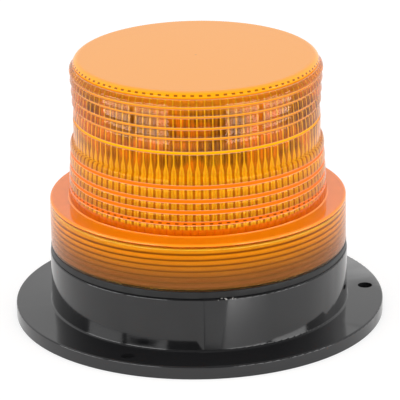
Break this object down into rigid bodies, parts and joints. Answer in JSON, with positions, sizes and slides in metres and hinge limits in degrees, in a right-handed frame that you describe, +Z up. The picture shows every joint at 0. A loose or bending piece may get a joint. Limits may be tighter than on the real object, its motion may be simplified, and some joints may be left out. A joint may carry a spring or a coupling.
{
  "type": "rotating beacon",
  "caption": "Round flanged warning beacon: black moulded base, screw-on ringed and fluted amber lens, motor-driven reflector turning round a bayonet lamp.",
  "frame": {"origin": "centre of the flange's flat underside, on the surface that the beacon is fixed to", "axes": "+Z up along the lens axis, away from the mounting surface; +X towards the motor; the reflector faces +Y at rest"},
  "size_m": [0.135, 0.135, 0.0971],
  "materials": {
    "housing_plastic": "glossy moulded ABS",
    "seal_rubber": "moulded rubber",
    "amber_plastic": "polished transparent amber polycarbonate",
    "plated_steel": "zinc plated",
    "screw_steel": "zinc plated",
    "motor_steel": "nickel plated",
    "shaft_steel": "ground",
    "spring_steel": "drawn",
    "dark_nylon": "moulded",
    "brass": "turned",
    "white_acetal": "moulded",
    "mirror_plastic": "vacuum metallised",
    "brown_laminate": "punched",
    "solder": "cast",
    "black_glass": "fired",
    "clear_glass": "blown",
    "filament_wire": "drawn",
    "block_plastic": "moulded",
    "lead_black": "extruded",
    "lead_red": "extruded",
    "capacitor_resin": "dipped"
  },
  "bodies": {
    "housing": {"base_housing": "housing_plastic", "chassis_plate": "plated_steel", "chassis_screws": "screw_steel", "motor_can": "motor_steel", "motor_end_cap": "dark_nylon", "motor_terminals": "brass", "motor_screws": "screw_steel", "bearing_sleeve": "brass", "thrust_washer": "shaft_steel", "retaining_ring": "spring_steel", "lamp_socket": "brass", "socket_base": "brown_laminate", "spring_seat": "brass", "contact_spring": "spring_steel", "terminal_block": "block_plastic", "terminal_screws": "screw_steel", "motor_leads": "lead_black", "lamp_lead": "lead_red", "suppressor_capacitor": "capacitor_resin", "cable_grommet": "seal_rubber"},
    "seal": {"lens_gasket": "seal_rubber"},
    "lens": {"lens": "amber_plastic"},
    "rotor": {"rotor_gear": "white_acetal", "reflector_bracket": "plated_steel", "bracket_screws": "screw_steel", "reflector": "mirror_plastic", "reflector_screws": "screw_steel"},
    "motor_rotor": {"motor_shaft": "shaft_steel", "drive_pinion": "brass"},
    "lamp": {"bulb_cap": "brass", "bulb_insulator": "black_glass", "bulb_tip": "solder", "bulb_glass": "clear_glass", "bulb_filament": "filament_wire", "contact_plunger": "brass", "plunger_disc": "brown_laminate"}
  },
  "joints": [
    {"name": "lens_lift", "type": "slide", "parent": "housing", "child": "seal", "axis": [0, 0, 1], "range_m": [0, 0.0053]},
    {"name": "lens_turn", "type": "hinge", "parent": "seal", "child": "lens", "pos_m": [0, 0, 0.036], "axis": [0, 0, 1], "range_deg": [0, 900]},
    {"name": "rotor_spin", "type": "hinge", "parent": "housing", "child": "rotor", "pos_m": [0, 0, 0.026], "axis": [0, 0, 1], "continuous": true},
    {"name": "motor_spin", "type": "hinge", "parent": "housing", "child": "motor_rotor", "pos_m": [0.034, 0, 0.026], "axis": [0, 0, 1], "continuous": true},
    {"name": "lamp_press", "type": "slide", "parent": "housing", "child": "lamp", "axis": [0, 0, 1], "range_m": [-0.0015, 0], "stiffness_N_per_m": 2000, "springref_m": 0.003, "deforming": ["contact_spring"]}
  ],
  "couplings": [
    {"joint": "lens_lift", "follows": "lens_turn", "m_per_rad": 0.00033693},
    {"joint": "motor_spin", "follows": "rotor_spin", "ratio": -4.6667}
  ]
}
